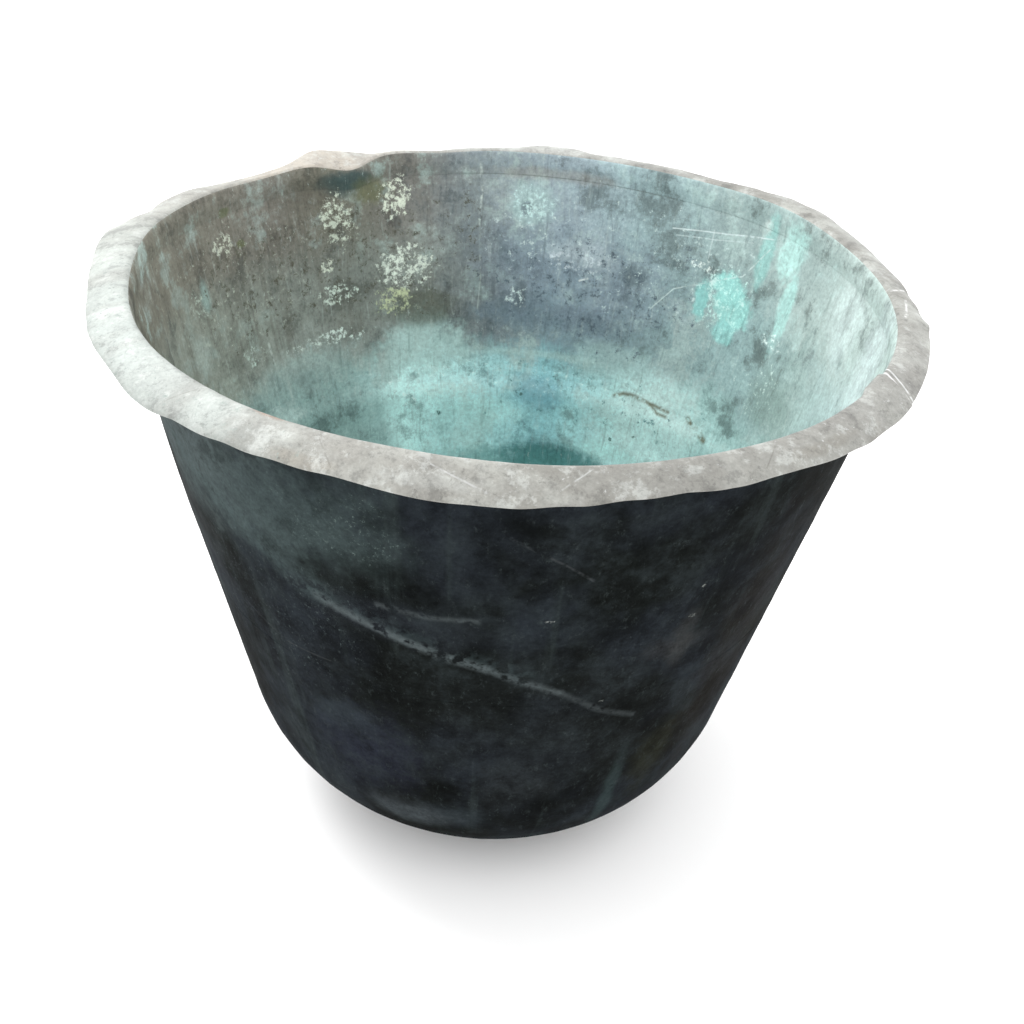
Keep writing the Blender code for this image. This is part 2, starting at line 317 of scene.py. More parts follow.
def build_wall(shape, materials):
    """The tapered side, a strip with its scarfed ends lapped over each other at the back.

    For a station round the bowl and a height, the face is the wall's outer line, and the sheet lies
    from its outer to its inner depth behind that. The depths taper to a tip over the lap."""
    lap = SCARF_LAP / shape.wall_r
    azimuth = shape.seam_azimuth + np.linspace(0.0, TURN + lap, WALL_STATIONS)[:, None]
    turn_share = (azimuth - shape.seam_azimuth) / lap
    full = shape.wall_sheet
    thick = full - shape.fit_gap - SCARF_TIP
    outer = np.where(turn_share < 1.0, full - SCARF_TIP - turn_share * (thick - SCARF_TIP), 0.0)
    back_share = (azimuth - shape.seam_azimuth - TURN) / lap
    far_tip = thick - back_share * (thick - SCARF_TIP)
    inner = np.where(back_share > 0.0, far_tip, full)
    z = np.linspace(shape.seam_z, shape.height - shape.fold_r, WALL_ROWS)[None, :]
    heading = math.pi / 2.0 - shape.taper
    face = (wall_line(shape, z), z, heading)
    mark = shape.wall_blow_depth
    outside = place(shape, azimuth + 0.0 * z, face, offset=outer, depth=-mark)
    inside = place(shape, azimuth + 0.0 * z, face, offset=inner, depth=-mark)
    points = np.concatenate([inside, outside[:, ::-1]], 1)
    kinds = np.array([1] * WALL_ROWS + [0] * WALL_ROWS)
    return strip_piece("wall_sheet_hammered", "wall_sheet", points, materials, kinds)


# ------------------------------------------------------------------ pan


PAN_STATIONS = 480
PAN_ROWS = 96
JOGGLE = 0.00025
JOGGLE_END = 0.00002
SEAM_ROWS = (-0.00005, 0.0003, 6)
INNER_STEP = (-0.022, 0.006)
FEATHER = 0.016
PAN_EDGE = 0.0001
FOOT_MARKS = (0.053, 0.090)


def pan_line(shape, count):
    """(r, z, heading) along the pan's outer line, from the axis to the top of its upstand.

    The line is the foot's straight radius, the corner's arc and the straight side up to the lap. Its
    points are evenly spaced, with a few more where the pan steps in behind the wall."""
    foot = wall_line(shape, shape.corner_r, shape.corner_r)
    up = math.pi / 2.0 - shape.taper
    top_z = shape.seam_z + shape.pan_lap
    corner_z = shape.corner_r * (1.0 - math.sin(shape.taper))
    lengths = np.array([foot, shape.corner_r * up, (top_z - corner_z) / math.cos(shape.taper)])
    seam = lengths.sum() - (shape.pan_lap + JOGGLE) / math.cos(shape.taper)
    tight = seam + np.linspace(*SEAM_ROWS)
    s = np.sort(np.concatenate([np.linspace(0.0, lengths.sum(), count - len(tight)), tight]))
    heading = np.clip((s - foot) / shape.corner_r, 0.0, up)
    climb = np.clip(s - lengths[0] - lengths[1], 0.0, None)
    r = np.minimum(s, foot) + shape.corner_r * np.sin(heading) + climb * math.sin(shape.taper)
    z = shape.corner_r * (1.0 - np.cos(heading)) + climb * math.cos(shape.taper)
    return r, z, heading


def build_pan(shape, materials):
    """The raised bottom: foot, round corner and straight side, joggled behind the wall at the top.

    Both faces follow one line, turned once round the axis. The inner face lies one sheet inside the
    outer one. The outer one steps in abruptly at the wall's edge and the inner one little by little,
    and the sheet thins to a feather edge at the top."""
    r, z, heading = (a[1:, None] for a in pan_line(shape, PAN_ROWS + 1))
    azimuth = np.linspace(0.0, TURN, PAN_STATIONS, endpoint=False)[None, :]
    inwards = shape.wall_sheet + shape.fit_gap
    behind = inwards * smooth(z, shape.seam_z - JOGGLE, shape.seam_z - JOGGLE_END)
    step = inwards * smooth(z, *(shape.seam_z + up for up in INNER_STEP))
    top_z = shape.seam_z + shape.pan_lap
    thin = smooth(z, top_z - FEATHER, top_z) * (shape.pan_sheet - PAN_EDGE)
    mark = shape.wall_blow_depth * smooth(r, *FOOT_MARKS)
    face = (r, z, heading)
    outside = place(shape, azimuth + 0.0 * z, face, offset=behind, depth=-mark)
    inside = place(shape, azimuth + 0.0 * z, face, offset=step + shape.pan_sheet - thin, depth=-mark)
    rings = np.concatenate([outside, inside[::-1]], 0)
    poles = np.array([[0.0, 0.0, 0.0], [0.0, 0.0, shape.pan_sheet]])
    points = np.concatenate([rings.reshape(-1, 3), poles])
    sides = grid_faces(len(rings), PAN_STATIONS, True)
    spoke = np.arange(PAN_STATIONS)
    following = (spoke + 1) % PAN_STATIONS
    last = (len(rings) - 1) * PAN_STATIONS
    low = np.stack([following, spoke, np.full(PAN_STATIONS, len(points) - 2)], -1)
    high = np.stack([last + spoke, last + following, np.full(PAN_STATIONS, len(points) - 1)], -1)
    kinds = np.repeat([0] * PAN_ROWS + [1] * (PAN_ROWS - 1) + [0, 1], PAN_STATIONS)
    faces = sides.tolist() + low.tolist() + high.tolist()
    return add_piece("bottom_pan_raised", "bottom_pan", points, faces, materials, kinds)


# ------------------------------------------------------------------ rim


RIM_STATIONS = 960
RIM_COLUMNS = 34
FLANGE_START = math.radians(5.0)
RIM_LAP = 0.025
RIM_LAP_RISE = 0.015
LAP_SLANT = math.radians(-4.5)
LAP_PIVOT = 0.3
COLLAR_EDGE = 0.0002
COLLAR_FEATHER = (-0.004, 0.014)
FLANGE_MARKS = (0.015, 0.028)


def rim_line(shape, count):
    """(r, z, heading) along the rim's upper face: up the collar, over the fold, down the flange's arc."""
    up = math.pi / 2.0 - shape.taper
    inset = shape.wall_sheet + shape.fit_gap + shape.rim_sheet
    fold_z = shape.height - shape.fold_r
    start_z = fold_z + shape.fold_r * math.cos(up)
    fold_axis_r = wall_line(shape, start_z, inset) + shape.fold_r * math.sin(up)
    collar = (start_z - shape.height + shape.collar) / math.cos(shape.taper)
    fold = shape.fold_r * (up + FLANGE_START)
    begin_r = fold_axis_r + shape.fold_r * math.sin(FLANGE_START)
    begin_z = fold_z + shape.fold_r * math.cos(FLANGE_START)
    width = shape.rim_r - shape.rim_sheet / 2.0 - begin_r
    drop = begin_z - (shape.height - shape.flange_drop)
    end = 2.0 * math.atan2(drop, width) - FLANGE_START
    arc_r = width / (math.sin(end) - math.sin(FLANGE_START))
    s = np.linspace(0.0, collar + fold + arc_r * (end - FLANGE_START), count)
    climb = np.minimum(s, collar)
    turned = np.clip((s - collar) / shape.fold_r, 0.0, up + FLANGE_START)
    slope = FLANGE_START + np.clip((s - collar - fold) / arc_r, 0.0, None)
    fold_heading = up - turned
    on_flange = s > collar + fold
    heading = np.where(on_flange, -slope, fold_heading)
    r = np.where(
        on_flange,
        begin_r + arc_r * (np.sin(slope) - math.sin(FLANGE_START)),
        fold_axis_r - shape.fold_r * np.sin(fold_heading) + (climb - collar) * math.sin(shape.taper),
    )
    z = np.where(
        on_flange,
        begin_z - arc_r * (math.cos(FLANGE_START) - np.cos(slope)),
        fold_z + shape.fold_r * np.cos(fold_heading) + (climb - collar) * math.cos(shape.taper),
    )
    return r, z, heading, s


def build_rim(shape, materials):
    """The collar, fold and flange in one strip, its far end lifted onto its near end at the lap.

    A section runs along the upper face from the collar's edge to the flange's, round the edge and back
    under. The strip is sheared near the lap, so that its ends lie aslant across the flange."""
    r, z, heading, s = (a[None, :] for a in rim_line(shape, RIM_COLUMNS))
    sheet = shape.rim_sheet
    thin = (1.0 - smooth(s, *COLLAR_FEATHER)) * (sheet - COLLAR_EDGE)
    lap = RIM_LAP / shape.rim_r
    rise = RIM_LAP_RISE / shape.rim_r
    start = shape.lap_azimuth - lap
    u = np.linspace(start, shape.lap_azimuth + TURN, RIM_STATIONS)[:, None]
    far = start + TURN
    ends = 1.0 - smooth(u, start + 0.1, start + 0.4) * smooth(u, far - 0.1, far - 0.4)
    slant = LAP_SLANT * (s / s.max() - LAP_PIVOT) * ends
    azimuth = u + slant
    raised = smooth(u, far - rise, far)
    height = (sheet + shape.fit_gap) * raised + 0.0 * s
    mark = shape.rim_blow_depth * smooth(s, *FLANGE_MARKS)
    face = (r, z, heading)
    round_edge = np.array([[0.35, 0.5, 0.35], [-0.146, -0.5, -0.854]]) * sheet
    edge = tuple(a[:, -1:] for a in face)
    upper = place(shape, azimuth, face, offset=height - thin, depth=mark)
    tip = [
        place(shape, azimuth[:, -1:], edge, along, height[:, -1:] + off, mark[:, -1:])
        for along, off in round_edge.T
    ]
    lower = place(shape, azimuth, face, offset=height - sheet, depth=mark)
    points = np.concatenate([upper, tip[0], 0.5 * (tip[0] + tip[1]), tip[1], tip[2], lower[:, ::-1]], 1)
    inner = int(np.argmax(heading[0] < math.radians(60.0)))
    kinds = np.array([1] * inner + [0] * (points.shape[1] - inner))
    return strip_piece("rim_flange_hammered", "rim_flange", points, materials, kinds)


# ------------------------------------------------------------------ brazing


BEAD_SIDES = 16
RING_STATIONS = 480
# Half height and half thickness of each bead, and how it lies to the sheet beside it
PAN_BEAD = (0.0095, 0.0010)
PAN_BEAD_SUNK = 0.00058
PAN_BEAD_ABOVE = 0.0004
RIM_BEAD = 0.0013
SIDE_BEAD = (0.0018, 0.0003)
SIDE_BEAD_ENDS = (0.004, 0.002)
LAP_BEAD = (0.0012, 0.0008)
LAP_BEAD_ASIDE = 0.0010
LAP_BEAD_UP = 0.0006


def outward(azimuth):
    """The level direction away from the axis at each azimuth."""
    return np.stack([np.cos(azimuth), np.sin(azimuth), 0.0 * azimuth], -1)


def sideways(azimuth):
    """The level direction round the bowl at each azimuth."""
    return np.stack([-np.sin(azimuth), np.cos(azimuth), 0.0 * azimuth], -1)


def bead_piece(name, node, centre, across, off, material, closed):
    """A bead of spelter: a rounded section carried along a path of points, closed on itself or capped.

    centre is the path, and across and off give the section's two half axes at each point of it. A point
    lies at the centre plus the cosine of its turn times across plus the sine of it times off."""
    turn = np.linspace(0.0, TURN, BEAD_SIDES, endpoint=False)[None, :, None]
    points = centre[:, None] + across[:, None] * np.cos(turn) + off[:, None] * np.sin(turn)
    rows, columns = points.shape[:2]
    if closed:
        faces = (grid_faces(rows + 1, columns, True) % (rows * columns)).tolist()
    else:
        faces = grid_faces(rows, columns, True).tolist()
        faces += [list(range(columns))[::-1], [(rows - 1) * columns + k for k in range(columns)]]
    return add_piece(name, node, points, faces, [material])


def build_pan_bead(shape, material):
    """A low ring over the top of the pan's upstand. Its section is a flat oval that leans with the
    wall, and its height swells and shrinks by a product of sines."""
    ring = np.linspace(0.0, TURN, RING_STATIONS, endpoint=False)
    heading = math.pi / 2.0 - shape.taper
    swell = 1.0 + 0.25 * np.sin(23.0 * ring) * np.sin(7.0 * ring + 1.0) + 0.12 * np.sin(61.0 * ring)
    z = np.full_like(ring, shape.seam_z + shape.pan_lap + PAN_BEAD_ABOVE)
    face = (wall_line(shape, z), z, heading)
    sunk = shape.wall_sheet - PAN_BEAD_SUNK
    middle = place(shape, ring, face, offset=sunk, depth=-shape.wall_blow_depth)
    upright = np.array([0.0, 0.0, 1.0])
    climbing = outward(ring) * math.cos(heading) + upright * math.sin(heading)
    off = outward(ring) * math.sin(heading) - upright * math.cos(heading)
    tall, thick = PAN_BEAD
    across = climbing * (tall * swell)[:, None]
    bead_piece("bottom_seam_bead", "bottom_seam_braze", middle, across, off * thick, material, True)


def build_rim_bead(shape, material):
    """A round ring in the hollow under the flange, against the wall's outer face."""
    ring = np.linspace(0.0, TURN, RING_STATIONS, endpoint=False)
    z = np.full_like(ring, shape.height - shape.fold_r)
    face = (wall_line(shape, z), z, math.pi / 2.0 - shape.taper)
    middle = place(shape, ring, face, offset=-(shape.fit_gap + RIM_BEAD))
    across = np.array([0.0, 0.0, RIM_BEAD]) + 0.0 * middle
    bead_piece("rim_seam_bead", "rim_seam_braze", middle, across, outward(ring) * RIM_BEAD, material, True)


def build_side_bead(shape, material):
    """A thin straight bead up the wall's own seam, whose width varies by two sines of the height."""
    below, above = SIDE_BEAD_ENDS
    z = np.linspace(shape.seam_z + shape.pan_lap + below, shape.height - shape.collar - above, 90)
    azimuth = np.full_like(z, shape.seam_azimuth)
    face = (wall_line(shape, z), z, math.pi / 2.0 - shape.taper)
    middle = place(shape, azimuth, face, offset=shape.wall_sheet + shape.fit_gap)
    wide, thick = SIDE_BEAD
    width = wide * (1.0 + 0.3 * np.sin(190.0 * z) + 0.2 * np.sin(410.0 * z))
    across = sideways(azimuth) * width[:, None]
    off = outward(azimuth) * -thick
    bead_piece("side_seam_bead", "wall_seam_braze", middle, across, off, material, False)


def build_lap_bead(shape, material):
    """A bead along the edge of the rim's lap, aslant with it, that swells by two sines of its length."""
    r, z, heading, s = (a[2:-1] for a in rim_line(shape, 60))
    azimuth = shape.lap_azimuth + LAP_SLANT * (s / s.max() - LAP_PIVOT) + LAP_BEAD_ASIDE / shape.rim_r
    mark = shape.rim_blow_depth * smooth(s, *FLANGE_MARKS)
    middle = place(shape, azimuth, (r, z, heading), offset=LAP_BEAD_UP, depth=mark)
    upright = np.array([0.0, 0.0, 1.0])
    off = upright * np.cos(heading)[:, None] - outward(azimuth) * np.sin(heading)[:, None]
    swell = (1.0 + 0.25 * np.sin(900.0 * s) + 0.15 * np.sin(2300.0 * s))[:, None]
    wide, thick = LAP_BEAD
    across = sideways(azimuth) * (wide * swell)
    bead_piece("rim_lap_bead", "rim_lap_braze", middle, across, off * (thick * swell), material, False)


# ------------------------------------------------------------------ finishes


class Value:
    """A number that varies over a surface. Arithmetic on it adds Math nodes to its material."""

    def __init__(self, finish, socket):
        self.finish = finish
        self.socket = socket

    def math(self, operation, *operands):
        return self.finish.make("ShaderNodeMath", {"operation": operation}, dict(enumerate(operands)))

    def __add__(self, other):
        return self.math("ADD", self, other)

    def __radd__(self, other):
        return self.math("ADD", other, self)

    def __sub__(self, other):
        return self.math("SUBTRACT", self, other)

    def __rsub__(self, other):
        return self.math("SUBTRACT", other, self)

    def __mul__(self, other):
        return self.math("MULTIPLY", self, other)

    def __rmul__(self, other):
        return self.math("MULTIPLY", other, self)

    def __truediv__(self, other):
        return self.math("DIVIDE", self, other)

    def __rtruediv__(self, other):
        return self.math("DIVIDE", other, self)

    def __pow__(self, other):
        return self.math("POWER", self, other)


class Finish:
    """One material in the making, with the bowl's own coordinates at hand.

    chart holds metres round the bowl from azimuth 0, at the given radius, and metres up (or outwards,
    where flat is set). cut is the azimuth where the chart begins and ends. wobble makes edges ragged
    and breaks interrupts thin lines, both by noise."""

    def __init__(self, name, radius=0.27, cut=-180.0, flat=False):
        self.material = bpy.data.materials.new(name)
        self.material.use_nodes = True
        self.tree = self.material.node_tree
        self.shader = self.tree.nodes["Principled BSDF"]
        self.per_degree = radius * math.pi / 180.0
        self.point = self.make("ShaderNodeTexCoord", {}, {}, "Object")
        self.x = self.make("ShaderNodeSeparateXYZ", {}, {0: self.point}, "X")
        self.y = self.make("ShaderNodeSeparateXYZ", {}, {0: self.point}, "Y")
        self.z = self.make("ShaderNodeSeparateXYZ", {}, {0: self.point}, "Z")
        turned = self.y.math("ARCTAN2", self.y, self.x) * (180.0 / math.pi)
        self.azimuth = turned.math("WRAP", turned, cut + 360.0, cut)
        self.r = (self.x * self.x + self.y * self.y) ** 0.5
        rise = self.r if flat else self.z
        around = self.azimuth * self.per_degree
        self.chart = self.make("ShaderNodeCombineXYZ", {}, {0: around, 1: rise, 2: 0.0})
        coarse = self.noise(self.point, 30.0, 3.0, 0.6)
        crumbly = self.noise(self.point, 160.0, 2.0, 0.6)
        self.wobble = (coarse - 0.5) * 1.5 + (crumbly - 0.5) * 0.9
        self.breaks = self.step((coarse + crumbly) * 0.5, 0.40, 0.54)

    def make(self, kind, settings, inputs, output=0):
        """Adds a node: its settings first, then the values or links of its sockets."""
        node = self.tree.nodes.new(kind)
        for name, value in settings.items():
            if name == "stops":
                ramp = node.color_ramp
                while len(ramp.elements) < len(value):
                    ramp.elements.new(0.5)
                for element, (position, shown) in zip(ramp.elements, value):
                    element.position = position
                    element.color = (*shown, 1.0)
            else:
                setattr(node, name, value)
        for key, value in inputs.items():
            socket = node.inputs[key]
            if isinstance(value, Value):
                self.tree.links.new(value.socket, socket)
            elif isinstance(value, tuple) and len(value) == 3 and len(socket.default_value) == 4:
                socket.default_value = (*value, 1.0)
            else:
                socket.default_value = value
        return Value(self, node.outputs[output])

    def noise(self, vector, scale, detail, roughness):
        """Fractal noise from 0 to 1, with its middle near a half."""
        inputs = {"Vector": vector, "Scale": scale, "Detail": detail, "Roughness": roughness}
        return self.make("ShaderNodeTexNoise", {"noise_dimensions": "3D"}, inputs, "Fac")

    def step(self, value, low, high, top=1.0):
        """Rises smoothly from 0 at low to the top value at high, or falls where low is the larger."""
        return self.make(
            "ShaderNodeMapRange",
            {"interpolation_type": "SMOOTHSTEP"},
            {"Value": value, "From Min": low, "From Max": high, "To Max": top},
            "Result",
        )

    def tint(self, share, first, second):
        """The first colour where share is 0 and the second where it is 1."""
        return self.make(
            "ShaderNodeMix",
            {"data_type": "RGBA", "blend_type": "MIX", "clamp_factor": True},
            {"Factor": share, 6: first, 7: second},
            2,
        )

    def vector(self, operation, *operands, output=0):
        """Vector Math on whole colours or places."""
        inputs = dict(enumerate(operands))
        return self.make("ShaderNodeVectorMath", {"operation": operation}, inputs, output)

    def shade(self, base, factor):
        """A colour, or a place, times a number that varies."""
        return self.make("ShaderNodeVectorMath", {"operation": "SCALE"}, {0: base, "Scale": factor})

    def bands(self, stops, shift):
        """A colour that changes round the bowl through (azimuth, colour) stops."""
        where = (self.azimuth + shift + 60.0) / 360.0
        marks = [((azimuth + 60.0) / 360.0, paint(*shown)) for azimuth, shown in stops]
        return self.make("ShaderNodeValToRGB", {"stops": marks}, {"Fac": where}, "Color")

    def wrapped(self, across, along):
        """Coordinates that stretch a pattern: across times round the bowl, along times upwards."""
        unit = self.make("ShaderNodeCombineXYZ", {}, {0: self.x / self.r, 1: self.y / self.r, 2: 0.0})
        rise = self.make("ShaderNodeCombineXYZ", {}, {0: 0.0, 1: 0.0, 2: self.z * along})
        return self.vector("ADD", self.shade(unit, across), rise)

    def patch(self, azimuth, height, half_width, half_height, soft, strength):
        """A soft-edged oval: its distance from the centre in half sizes, roughened by the wobble, falls
        from the strength to 0 between one less soft and one more soft."""
        wide = 1.0 / (half_width * self.per_degree)
        high = 1.0 / half_height
        shift = (-azimuth * self.per_degree * wide, -height * high, 0.0)
        off = self.vector("MULTIPLY_ADD", self.chart, (wide, high, 0.0), shift)
        distance = self.vector("LENGTH", off, output="Value") + self.wobble
        return self.step(distance, 1.0 + soft, 1.0 - soft, strength)

    def line(self, path, width, strength):
        """A thin line through (azimuth, height) points: the nearest of its pieces' distances, in metres."""
        corners = [Vector((azimuth * self.per_degree, height, 0.0)) for azimuth, height in path]
        nearest = None
        for start, end in zip(corners, corners[1:]):
            run = end - start
            off = self.vector("SUBTRACT", self.chart, tuple(start))
            share = self.vector("DOT_PRODUCT", off, tuple(run / run.length_squared), output="Value")
            held = self.make("ShaderNodeClamp", {}, {"Value": share}, "Result")
            along = self.shade(tuple(run), held)
            distance = self.vector("DISTANCE", off, along, output="Value")
            nearest = distance if nearest is None else distance.math("MINIMUM", distance, nearest)
        ragged = nearest + self.wobble * (0.9 * width)
        return self.step(ragged, 1.2 * width, 0.1 * width, strength) * self.breaks

    def patches(self, base, rows, gain=1.0):
        """Lays the rows' patches over the base: azimuth, height, half sizes, softness, strength, colour."""
        for *where, shown in rows:
            base = self.tint(self.patch(*where), base, paint(*shown, gain))
        return base

    def lines(self, base, rows, gain=1.0):
        """Lays the rows' thin lines over the base: width, strength, colour, path."""
        for width, strength, shown, path in rows:
            base = self.tint(self.line(path, width, strength), base, paint(*shown, gain))
        return base

    def specks(self, base, rows, scale, gain=1.0):
        """Breaks each row's patch up into crumbs where a fine noise is high, and lays them on the base."""
        crumbs = self.noise(self.point, scale, 7.0, 0.8)
        for azimuth, height, half_width, half_height, share, shown in rows:
            zone = self.patch(azimuth, height, half_width, half_height, 0.6, 1.0)
            level = 0.66 - 0.19 * share
            mask = self.step(crumbs + (zone - 1.0) * 0.4, level, level + 0.10)
            base = self.tint(mask, base, paint(*shown, gain))
        return base

    def close(self, base, rough, bump, strength):
        """Links the finished colour, roughness and bump to the shader."""
        ends = {"Base Color": base, "Roughness": rough}
        relief = {"Height": bump, "Strength": strength, "Distance": 0.001}
        ends["Normal"] = self.make("ShaderNodeBump", {}, relief, "Normal")
        for name, value in ends.items():
            self.tree.links.new(value.socket, self.shader.inputs[name])
        return self.material


def paint(red, green, blue, gain=1.0):
    """A screen colour, 0 to 255 each, as the light shares that shading works in, times a gain."""
    shares = [part / 255.0 for part in (red, green, blue)]
    return tuple(gain * (s / 12.92 if s <= 0.04045 else ((s + 0.055) / 1.055) ** 2.4) for s in shares)


# From a colour as it looks in the studio's light to that of the bare surface, for each face
INSIDE_GAIN = 0.90
OUTSIDE_GAIN = 0.46
RIM_GAIN = 0.61

# Radii between which patterns that follow the side give way to those of the round bottom
ROUND_TO_SIDE = (0.125, 0.200)

# Colour round the inside at three heights: azimuth, colour. Besides the patina's own colours, the rows hold
# painted shade, darker on the left wall from azimuth 95 to 190, and painted light, paler on the right wall
# and in the bright turquoise low down.
INSIDE_TOP = (
    (-50, (178, 195, 192)), (-5, (181, 198, 193)), (20, (172, 189, 185)), (35, (152, 172, 170)),
    (50, (148, 168, 168)), (65, (154, 177, 180)), (80, (156, 172, 180)), (95, (128, 138, 142)),
    (110, (124, 122, 116)), (125, (110, 108, 96)), (140, (116, 112, 104)), (160, (124, 121, 110)),
    (190, (114, 110, 98)), (240, (150, 158, 155)), (295, (178, 195, 192)),
)
INSIDE_MIDDLE = (
    (-50, (178, 198, 196)), (5, (184, 204, 202)), (20, (150, 172, 168)), (35, (150, 176, 176)),
    (50, (143, 167, 168)), (65, (124, 144, 150)), (80, (122, 144, 152)), (95, (114, 124, 128)),
    (110, (134, 139, 134)), (125, (136, 142, 136)), (140, (146, 152, 145)), (160, (148, 153, 143)),
    (190, (134, 134, 124)), (240, (150, 160, 156)), (295, (178, 198, 196)),
)
INSIDE_LOW = (
    (-50, (160, 200, 197)), (20, (160, 192, 188)), (38, (170, 204, 201)), (50, (214, 248, 245)),
    (65, (188, 228, 226)), (80, (152, 204, 210)), (95, (182, 224, 224)), (113, (208, 246, 242)),
    (120, (158, 188, 185)), (130, (138, 164, 160)), (160, (134, 156, 152)), (230, (150, 186, 184)),
    (298, (160, 200, 197)),
)

# Patches on the inside: azimuth, height, half width (degrees), half height, softness, strength, colour
INSIDE_PATCHES = (
    # Partly painted shade: a dull grey over the left wall, which lies in shade.
    (144, 0.360, 44.0, 0.040, 0.5, 0.35, (112, 114, 104)),
    # Painted shadow: the dark teal under the dented lip.
    (123, 0.459, 6.0, 0.010, 0.5, 0.90, (52, 72, 72)),
    (118.5, 0.448, 3.6, 0.012, 0.5, 0.75, (98, 100, 70)),
    (133, 0.452, 6.0, 0.014, 0.6, 0.50, (86, 82, 72)),
    (147.5, 0.427, 1.0, 0.004, 0.3, 0.80, (92, 96, 62)),
    (150, 0.457, 1.2, 0.004, 0.3, 0.70, (92, 96, 66)),
    (160, 0.400, 1.2, 0.012, 0.6, 0.60, (150, 176, 170)),
    (165.5, 0.358, 3.0, 0.015, 0.6, 0.60, (160, 168, 160)),
    (140, 0.295, 16.0, 0.020, 0.5, 0.55, (150, 170, 166)),
    (109, 0.299, 9.0, 0.026, 0.4, 0.80, (178, 206, 202)),
    (66, 0.297, 9.0, 0.016, 0.5, 0.60, (168, 194, 192)),
    (80, 0.329, 4.0, 0.014, 0.5, 0.40, (146, 166, 172)),
    (109, 0.334, 7.0, 0.016, 0.5, 0.75, (88, 92, 80)),
    (99, 0.390, 5.0, 0.050, 0.6, 0.40, (108, 116, 116)),
    (87, 0.431, 4.0, 0.020, 0.4, 0.75, (170, 196, 196)),
    (88, 0.427, 1.0, 0.006, 0.3, 0.80, (108, 124, 130)),
    (84, 0.459, 11.0, 0.006, 0.5, 0.50, (150, 146, 140)),
    (81, 0.330, 15.0, 0.013, 0.5, 0.75, (98, 116, 126)),
    (77, 0.372, 18.0, 0.042, 0.6, 0.50, (136, 150, 164)),
    (77, 0.390, 7.0, 0.010, 0.5, 0.70, (172, 186, 192)),
    (88, 0.346, 1.1, 0.014, 0.5, 0.60, (86, 98, 104)),
    (64.5, 0.380, 2.6, 0.010, 0.4, 0.80, (104, 120, 126)),
    (49.5, 0.378, 1.6, 0.015, 0.3, 0.85, (142, 204, 200)),
    (44.0, 0.396, 3.4, 0.013, 0.3, 0.85, (156, 216, 210)),
    (41.5, 0.380, 4.8, 0.016, 0.3, 0.85, (156, 214, 208)),
    (42.5, 0.358, 2.6, 0.010, 0.3, 0.80, (150, 206, 202)),
    (39.5, 0.460, 0.9, 0.006, 0.4, 0.80, (222, 234, 230)),
    (32.5, 0.448, 3.4, 0.022, 0.35, 0.80, (184, 224, 218)),
    (38.5, 0.440, 1.6, 0.030, 0.4, 0.60, (150, 208, 202)),
    (29.8, 0.402, 1.7, 0.034, 0.35, 0.80, (178, 222, 216)),
    (25, 0.325, 7.0, 0.022, 0.5, 0.60, (134, 156, 150)),
    (6, 0.350, 9.0, 0.030, 0.6, 0.40, (170, 194, 192)),
    # Partly pale aqua patina and partly painted light: these two rows whiten the right wall, where the
    # light from the left falls.
    (12, 0.430, 5.0, 0.030, 0.6, 0.50, (214, 230, 228)),
    (-3, 0.420, 5.0, 0.050, 0.6, 0.50, (216, 232, 232)),
    (81.5, 0.292, 13.0, 0.004, 0.6, 0.55, (172, 198, 194)),
    (83, 0.253, 5.5, 0.018, 0.5, 0.65, (112, 160, 174)),
    (51.5, 0.240, 8.0, 0.018, 0.5, 0.65, (198, 230, 227)),
    (78, 0.194, 15.0, 0.013, 0.5, 0.90, (66, 118, 118)),
    (78, 0.180, 40.0, 0.016, 0.5, 0.60, (84, 136, 134)),
    (98, 0.235, 14.0, 0.012, 0.6, 0.50, (196, 238, 234)),
    (62, 0.212, 8.0, 0.008, 0.5, 0.55, (188, 232, 228)),
    (101, 0.215, 10.0, 0.024, 0.6, 0.50, (160, 202, 200)),
)

# Crumbs of lime on the inside: azimuth, height, half width, half height, how full, colour
INSIDE_FLECKS = (
    (113.5, 0.438, 4.2, 0.026, 1.10, (206, 212, 196)),
    (126, 0.422, 4.4, 0.028, 1.00, (192, 200, 184)),
    (129, 0.385, 2.4, 0.010, 1.10, (198, 204, 188)),
    (127, 0.360, 6.0, 0.014, 1.00, (194, 206, 194)),
    (112.5, 0.374, 8.0, 0.026, 1.05, (208, 216, 204)),
    (115, 0.343, 5.0, 0.018, 1.00, (180, 188, 152)),
    (132, 0.321, 13.0, 0.009, 0.95, (198, 210, 202)),
    (152, 0.430, 4.0, 0.012, 0.95, (188, 192, 176)),
    (150, 0.330, 5.0, 0.020, 0.75, (180, 196, 186)),
    (163, 0.400, 4.0, 0.030, 0.70, (166, 180, 168)),
    (89, 0.343, 3.4, 0.014, 0.85, (198, 214, 212)),
    (88, 0.400, 12.0, 0.045, 0.60, (190, 204, 202)),
    (87, 0.431, 5.0, 0.024, 1.00, (190, 216, 214)),
    (78, 0.385, 10.0, 0.022, 0.80, (186, 196, 202)),
    (50, 0.407, 3.4, 0.007, 0.85, (222, 230, 226)),
    (44, 0.385, 9.0, 0.040, 0.80, (190, 226, 220)),
    (30, 0.372, 5.0, 0.012, 0.80, (214, 228, 224)),
    (30, 0.330, 9.0, 0.040, 0.60, (190, 210, 204)),
    (106, 0.260, 18.0, 0.035, 0.55, (206, 224, 220)),
    (70, 0.270, 24.0, 0.035, 0.50, (196, 220, 216)),
    (150, 0.390, 34.0, 0.090, 0.50, (158, 164, 152)),
    (60, 0.400, 34.0, 0.080, 0.50, (190, 206, 204)),
)
